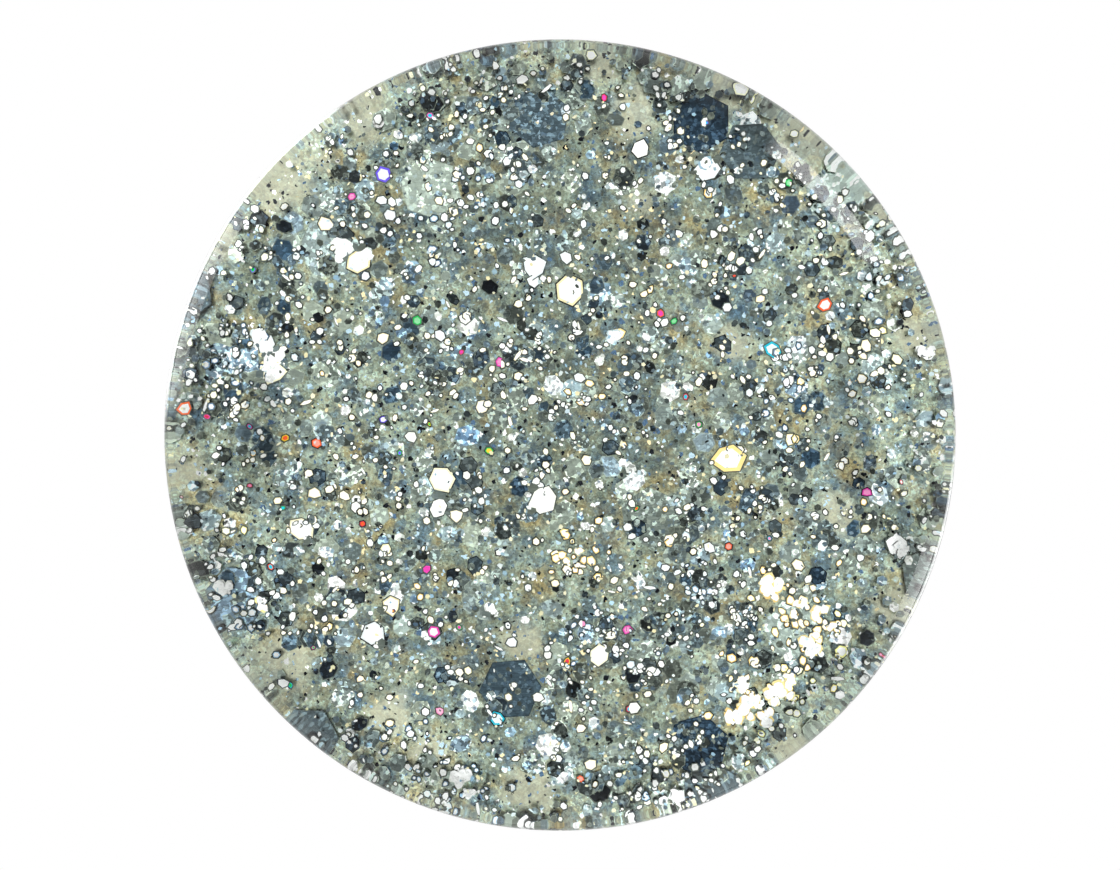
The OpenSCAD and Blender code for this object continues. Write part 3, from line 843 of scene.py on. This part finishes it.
# Black hexagons that stand out.
for x, y, size in (
        (-7.7, 11.1, 0.46), (1.5, 13.7, 0.46), (11.8, 7.8, 0.42), (12.3, 7.2, 0.27), (6.6, 8.5, 0.26),
        (-8.6, 6.4, 0.45), (-8.9, 9.0, 0.4), (-2.5, -12.8, 0.4), (-10.6, -8.0, 0.46), (-10.6, -7.1, 0.46),
        (-6.5, -3.2, 0.42), (10.3, -3.5, 0.45), (6.2, -5.2, 0.4), (-2.7, -5.7, 0.35), (9.4, -1.2, 0.46)):
    medium(medium_black, base_sheet, x, y, choice(BLACKS + NAVY), 0.0, 0.3, size * 1.1, 0.045)

# Scattered hexagons: how many, in what, colours, veil, speckle, radius, lift and how much they clump.
HEXAGONS = ((380, medium_black, BLACKS + NAVY + NAVY + SLATES, (0, 0.5), (0.2, 1.0), 0.4, 0.04, 0.9),
            (260, medium_silver, BLUES + SLATES + SLATES, (0.35, 0.9), (0.2, 1.0), 0.46, 0.02, 0.0),
            (46, medium_silver, BLUES + SILVERS, (0.0, 0.3), 1.0, 0.46, 0.03, 0.0),
            (1500, small_black, BLACKS + BLACKS + SLATES, (0, 0.3), 0.5, 0.15, 0.055, 0.6),
            (260, small_silver, BLUES + SILVERS, (0, 0.6), 0.9, 0.2, 0.055, 0.0))


def drawn(span):
    """A random number in a span, or the number itself."""
    return uniform(*span) if isinstance(span, tuple) else span


def glints(count, sheet, glitter, low, high, *colours, **shape):
    """Scatters glints with radii from low to high, their ring and core drawn from lists of colours."""
    sow(count, sheet, lambda *at: glint(glitter, *at, uniform(low, high), *map(choice, colours), **shape))


for sheet, share in ((base_sheet, 1.0), (wall_sheet, 2.4), (top_sheet, 0.6)):
    sow(int(150 * share), sheet, knot, 0.9)
    sow(int(170 * share), sheet, lit_edge, 0.5)
    for count, glitter, colours, veil, speckle, radius, lift, clump in HEXAGONS:
        sow(int(count * share), sheet, lambda *at: medium(glitter, *at, choice(colours), drawn(veil),
                                                          drawn(speckle), radius, lift), clump)
    glints(int(300 * share), sheet, small_silver, 0.09, 0.19)
    sow(int(80 * share), sheet, twin)
    glints(int(80 * share), sheet, small_silver, 0.2, 0.3)
    glints(int(50 * share), sheet, small_gold, 0.12, 0.24, GOLDS)
    glints(int(44 * share), sheet, small_silver, 0.1, 0.2, SPARKS, SPARKS + [WHITE])
    glints(int(42 * share), sheet, small_silver, 0.2, 0.34, squash=0.28)

# Large bright flakes, then warm blazes, golden flakes, cool blazes and coloured sparks.
for x, y, size in (
        (-4.6, 1.7, 0.56), (-0.6, 2.5, 0.58), (-4.7, 2.8, 0.42), (-1.0, -6.5, 0.48), (0.4, -5.6, 0.55),
        (13.0, 4.3, 0.5), (-10.0, 3.6, 0.52), (-7.2, 7.6, 0.5), (-6.5, 6.6, 0.4), (1.5, 8.5, 0.4),
        (-1.3, 15.0, 0.42), (5.7, -10.2, 0.5), (7.0, -13.4, 0.45), (-9.0, -8.1, 0.34), (3.1, -11.0, 0.36),
        (-11.3, -3.5, 0.4), (-11.0, -2.4, 0.5), (-7.8, -6.7, 0.5), (-4.0, 3.1, 0.3), (-3.0, -1.1, 0.3)):
    bitten(base_sheet, x, y, size * 1.08)
for x, y, size in (
        (8.2, 5.8, 0.55), (8.1, 6.1, 0.4), (10.0, 6.9, 0.42), (9.6, 8.1, 0.52), (9.9, 7.8, 0.3),
        (6.9, 9.6, 0.42), (8.7, 9.8, 0.55), (8.3, 10.0, 0.5), (8.9, 9.4, 0.4), (7.1, 10.5, 0.55),
        (6.7, 10.9, 0.45), (7.5, 10.2, 0.35), (7.9, 10.8, 0.42), (9.2, 6.4, 0.35), (8.9, 6.9, 0.28),
        (0.7, 4.5, 0.22), (0.3, 4.9, 0.2), (10.5, 7.4, 0.3), (-11.4, 6.5, 0.3)):
    flash(small_gold, base_sheet, x, y, size, choice(GOLDS))
for x, y, size in (
        (6.5, 0.9, 0.68), (10.8, 8.3, 0.36), (-6.7, 4.4, 0.28), (5.7, -9.3, 0.22), (2.3, -3.9, 0.3)):
    glint(small_gold, base_sheet, x, y, size, choice(GOLDS), squash=uniform(0.85, 1))
for x, y, size in (
        (-8.4, -7.1, 0.55), (-7.6, -6.8, 0.5), (-11.5, -3.8, 0.42), (-11.1, -3.0, 0.5), (-11.2, -2.4, 0.42),
        (-3.8, 13.2, 0.45), (-3.5, 13.7, 0.35), (4.4, 13.9, 0.42), (4.9, 14.3, 0.35), (-12.9, 5.8, 0.4),
        (13.2, 4.4, 0.36), (2.1, -3.8, 0.35), (5.6, -10.3, 0.42), (14.0, -3.2, 0.4), (-1.2, 15.0, 0.35)):
    flash(small_silver, base_sheet, x, y, size, choice(SILVERS + BLUES[1:2]))
for x, y, size, kind in (
        (8.2, -3.3, 0.42, 3), (-6.8, -10.0, 0.4, 4), (10.2, -5.0, 0.36, 2), (-14.4, -1.0, 0.38, 2),
        (-9.4, 0.3, 0.28, 2), (11.8, 2.2, 0.26, 0), (-4.9, 7.6, 0.32, 0), (2.6, 7.5, 0.26, 0),
        (-4.6, 10.6, 0.24, 7), (-2.3, -2.8, 0.28, 0), (-5.5, -4.4, 0.26, 1), (8.8, -9.7, 0.22, 1),
        (4.4, -4.4, 0.18, 1), (-2.4, 10.9, 0.36, 3), (0.8, 13.2, 0.22, 2), (6.5, 4.3, 0.22, 2)):
    share = 0.25 if size > 0.3 else 0.75
    core = tuple(share * c + 1 - share for c in SPARKS[kind][:3])
    glint(small_silver, base_sheet, x, y, size * 0.92, SPARKS[kind], core, squash=0.92)

# Sparkling drifts: middle, spread, how many, and 1 where they are warm.
for x, y, spread, count, warm in (
        (-12.3, -3.0, 0.8, 26, 0), (-3.9, 13.4, 0.9, 34, 0), (4.6, 14.0, 0.8, 26, 0),
        (8.6, 9.4, 1.2, 40, 1), (9.7, 7.2, 0.9, 30, 1), (0.6, 4.7, 0.5, 20, 1), (-12.2, 6.8, 0.7, 16, 0),
        (2.0, 8.0, 0.9, 24, 0), (-3.0, -9.6, 0.9, 20, 0), (13.0, -6.3, 0.7, 20, 0), (8.9, -2.0, 0.9, 24, 0),
        (5.2, 5.3, 0.9, 24, 0), (-4.4, -7.4, 0.9, 20, 0), (-5.6, 12.0, 0.8, 20, 0)):
    for _ in range(count):
        u, v = x + gauss(0, spread), y + gauss(0, spread)
        if hypot(u, v) > BOTTLE_R - 0.1:
            continue
        if warm:
            glint(small_gold, base_sheet, u, v, uniform(0.12, 0.26), choice(GOLDS))
        else:
            glint(small_silver, base_sheet, u, v, uniform(0.1, 0.22), choice(BLUES + SILVERS))


FINE = [WHITE, SILVERS[0], SILVERS[2], BLUES[1]] + BLACKS[:2] + SLATES[:2] + CREAMS[:2]


def speck(glitter, sheet, u, v):
    """A flake too small to show its shape."""
    colour = haze(choice(FINE), uniform(0, 0.35))
    glitter.flake(sheet, u, v, uniform(0.05, 0.11), 0.09 + uniform(0, 0.01), [(1.0, colour)],
                  0.3, uniform(0.35, 1.0), 0.016, 5)


sow(2600, base_sheet, lambda *at: speck(fine_base, *at))
sow(7000, wall_sheet, lambda *at: speck(fine_wall, *at))
sow(1500, top_sheet, lambda *at: speck(fine_wall, *at))

for kind, glitter, slot in (
        ("large_navy", large_navy, "navy_film"), ("large_silver", large_silver, "silver_film"),
        ("medium_silver", medium_silver, "silver_film"), ("medium_black", medium_black, "black_film"),
        ("small_silver", small_silver, "silver_film"),
        ("small_silver_wall", small_silver_wall, "silver_film"),
        ("small_black", small_black, "black_film"), ("small_gold", small_gold, "gold_film"),
        ("fine_base", fine_base, "silver_film"), ("fine_wall", fine_wall, "silver_film")):
    glitter.piece(kind, slot)


# ---- cap and brush

def cap_profile():
    """Outside from the rim to the middle of the top, then inside from there down to the rim."""
    edge, rim, corner, lip = 1.2, 0.15, 0.3, 0.12
    outer = arc(CAP_R - rim, CAP_Z + rim, rim, -90, 0, 5)
    outer += run((CAP_R, CAP_Z + rim + 0.05), (CAP_R, CAP_TOP - edge - 0.03), 12)
    outer += arc(CAP_R - edge, CAP_TOP - edge, edge, 0, 90, 16)
    outer += run((CAP_R - edge, CAP_TOP), (0, CAP_TOP), 6)
    wall_r, ceiling = CAP_R - CAP_WALL, CAP_TOP - CAP_WALL
    inner = [(0, ceiling)] + run((0, ceiling), (wall_r - corner, ceiling), 5)
    inner += arc(wall_r - corner, ceiling - corner, corner, 90, 0, 4)
    inner += run((wall_r, ceiling - corner - 0.05), (wall_r, CAP_Z + rim), 10)
    inner += arc(wall_r + lip, CAP_Z + lip, lip, 180, 270, 4)
    return outer + inner


shell = revolve("cap_shell_smooth", cap_profile(), CAP_PLASTIC, 192, closed=True)
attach(shell, "cap")
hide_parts("cap_shell")


FILAMENTS = 260
TUFT_R = 1.55
# How far the filaments go up into the stem.
TUFT_ROOT = 3.6
# Turned by this from one to the next, the filaments fill the round evenly.
GOLDEN_ANGLE = 2.39996


def bristles():
    """The tuft: thin bent filaments, a little splayed and of uneven length."""
    points, faces = [], []
    for i in range(FILAMENTS):
        a, r = i * GOLDEN_ANGLE, TUFT_R * sqrt((i + 0.5) / FILAMENTS)
        tip = TUFT_TIP_Z + 2.2 * (r / 1.6) ** 2 + uniform(0, 0.35)
        bend, lean, thick = uniform(0, 2 * pi), uniform(0, 0.12), uniform(0.05, 0.065)
        first = len(points)
        for k in range(9):
            t = k / 8
            spread = r * (1 + 0.02 * sin(pi * t))
            wave = lean * sin(pi * t)
            x = spread * cos(a) + wave * cos(bend)
            y = spread * sin(a) + wave * sin(bend)
            thin = thick * (1 - 0.5 * max(0, t - 0.85) / 0.15)
            z = STEM_END_Z + TUFT_ROOT + (tip - STEM_END_Z - TUFT_ROOT) * t
            for c in range(6):
                turn = pi / 3 * c
                points.append(((x + thin * cos(turn)) * MM, (y + thin * sin(turn)) * MM, z * MM))
        for k in range(8):
            for c in range(6):
                n = (c + 1) % 6
                low, high = first + k * 6, first + k * 6 + 6
                faces.append((high + c, high + n, low + n, low + c))
        faces.append(tuple(first + c for c in range(6)))
        faces.append(tuple(len(points) - 1 - c for c in range(6)))
    tuft = mesh_piece("bristles", points, faces, BRISTLE)
    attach(tuft, "brush")
    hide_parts("brush_bristles")


bristles()
# These four keep their CAD shapes.
for node, material in (("cap_insert", WHITE_PLASTIC), ("neck_washer", SOFT_PLASTIC),
                       ("brush_stem", WET_STEM), ("brush_staple", STEEL)):
    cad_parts[node].data.materials.clear()
    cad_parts[node].data.materials.append(material)


# ---- stage, light, camera

def aside(n, way, turn):
    """Angle between a direction's compass bearing and turn, which is in degrees."""
    flat = n.vector("NORMALIZE", n.vector("MULTIPLY", way, (1, 1, 0)))
    ahead = (cos(radians(turn)), sin(radians(turn)), 0)
    return n.math("ARCCOSINE", n.vector("DOT_PRODUCT", flat, ahead))


# Round the bottle, light from below comes through the floor within this radius.
LIT_R = 60.0


def one_way_floor():
    """Pale floor that is clear from below, and lets light from below reach the base of the bottle.

    A mirror-like surface above it sees two bright strips in it.
    """
    material, n, shader = new_material("pale_floor")
    place = n.mm()
    wire(n, shader, Base_Color=n.mix(n.noise(place, 0.02, 3.0), srgb(238, 238, 236), srgb(244, 244, 243)),
         Roughness=0.7)
    path = n.add("ShaderNodeLightPath")
    near = n.math("LESS_THAN", n.vector("LENGTH", place), LIT_R)
    unseen = n.math("SUBTRACT", 1.0, path.outputs["Is Camera Ray"])
    below = n.add("ShaderNodeNewGeometry").outputs["Backfacing"]
    clear = n.math("MAXIMUM", below, n.math("MULTIPLY", near, unseen))
    strips = 0.0
    for turn, half, power in ((-160, 15, 1.9), (22, 6, 2.4)):
        fade = n.smooth(aside(n, place, turn), radians(half + 2), radians(half - 2), 0.0, power)
        strips = n.math("ADD", fade, strips)
    mirrored = n.math("MULTIPLY", path.outputs["Is Glossy Ray"], path.outputs["Is Reflection Ray"])
    wire(n, shader, Emission_Color=grey(1), Emission_Strength=n.math("MULTIPLY", strips, mirrored))
    see_through = n.add("ShaderNodeBsdfTransparent")
    mixed = n.add("ShaderNodeMixShader", {0: clear, 1: shader.outputs[0], 2: see_through.outputs[0]})
    n.tree.links.new(mixed.outputs[0], n.tree.nodes["Material Output"].inputs[0])
    return material


FLOOR_R, SWEEP_R, BACKDROP_Z = 1100, 500, 1500
floor_profile = [(0, 0)] + run((0, 0), (FLOOR_R, 0), 8) + arc(FLOOR_R, SWEEP_R, SWEEP_R, -90, 0, 24)[1:]
floor_profile.append((FLOOR_R + SWEEP_R, BACKDROP_Z))
floor = revolve("stage_floor", floor_profile, one_way_floor(), 96)
floor.data.flip_normals()


def area_light(name, place, size, power):
    """A soft lamp aimed at the bottle, which lights it and the floor but is not seen."""
    data = bpy.data.lights.new(name, "AREA")
    data.shape = "RECTANGLE"
    data.size, data.size_y = size
    data.energy = power
    obj = bpy.data.objects.new(name, data)
    bpy.context.scene.collection.objects.link(obj)
    obj.location = place
    obj.rotation_euler = (Vector((0, 0, 0.03)) - Vector(place)).to_track_quat("-Z", "Y").to_euler()
    obj.visible_camera = obj.visible_glossy = False


area_light("key", (-0.75, -0.6, 0.9), (0.8, 0.8), 4.2)
area_light("fill", (0.9, -0.3, 0.6), (0.7, 0.7), 1.6)
area_light("back", (0.2, 0.9, 0.8), (0.8, 0.6), 2.0)


def window(w, way, turn, rise, wide, tall, soft):
    """A soft-edged lamp in the sky: 1 inside a patch round a direction, 0 outside. All in degrees."""
    above = w.math("ARCSINE", w.add("ShaderNodeSeparateXYZ", {0: way}).outputs["Z"])
    above = w.math("ABSOLUTE", w.math("SUBTRACT", above, radians(rise)))
    inside = 1.0
    for off, half in ((aside(w, way, turn), wide / 2), (above, tall / 2)):
        fade = w.smooth(off, radians(half + soft), radians(half - soft))
        inside = w.math("MULTIPLY", inside, fade)
    return inside


# The world is white to the camera. Diffuse, mirrored and transmitted rays each see a sky of their own.
world = bpy.data.worlds.new("world")
bpy.context.scene.world = world
world.use_nodes = True
world.node_tree.nodes.clear()
w = Nodes(world.node_tree)
way = w.add("ShaderNodeTexCoord").outputs["Generated"]
height = w.math("MULTIPLY_ADD", w.add("ShaderNodeSeparateXYZ", {0: way}).outputs["Z"], 0.5, 0.5)
glow = w.ramp(height, [(0.0, 1.6), (0.47, 1.6), (0.53, 0.62), (1.0, 0.72)])
mirror = w.ramp(height, [(0.0, 0.06), (0.04, 0.08), (0.2, 0.3), (0.5, 0.4), (0.6, 0.2), (0.78, 0.22),
                         (0.9, 0.4), (1.0, 0.7)])
for turn, rise, wide, tall, soft, power in ((-41.5, -51.5, 24, 36, 2, 6.8), (-150, 62, 50, 24, 5, 3.0),
                                            (20, 60, 30, 20, 5, 2.2)):
    lamp = w.math("MULTIPLY", window(w, way, turn, rise, wide, tall, soft), power)
    mirror = w.mix(1.0, mirror, lamp, "ADD")
path = w.add("ShaderNodeLightPath")
through = w.ramp(height, [(0.0, 1.6), (0.47, 1.6), (0.53, 1.3), (1.0, 1.15)])
glow = w.mix(path.outputs["Is Transmission Ray"], glow, through)
mirrored = w.math("MULTIPLY", path.outputs["Is Glossy Ray"], path.outputs["Is Reflection Ray"])
mixed = w.mix(mirrored, glow, mirror)
mixed = w.mix(path.outputs["Is Camera Ray"], mixed, grey(1.0))
sky = w.add("ShaderNodeBackground", {"Color": mixed, "Strength": 1.0})
w.add("ShaderNodeOutputWorld", {0: sky.outputs[0]})

camera_data = bpy.data.cameras.new("camera")
camera_data.lens = LENS
camera_data.sensor_width = SENSOR
camera_data.clip_start, camera_data.clip_end = 0.01, 10
camera = bpy.data.objects.new("camera", camera_data)
bpy.context.scene.collection.objects.link(camera)
camera.location = (0, 0, (HEEL_R - CAMERA_FAR) * MM)
camera.rotation_euler = (pi, 0, 0)
bpy.context.scene.camera = camera
bpy.context.scene.view_settings.view_transform = "Standard"
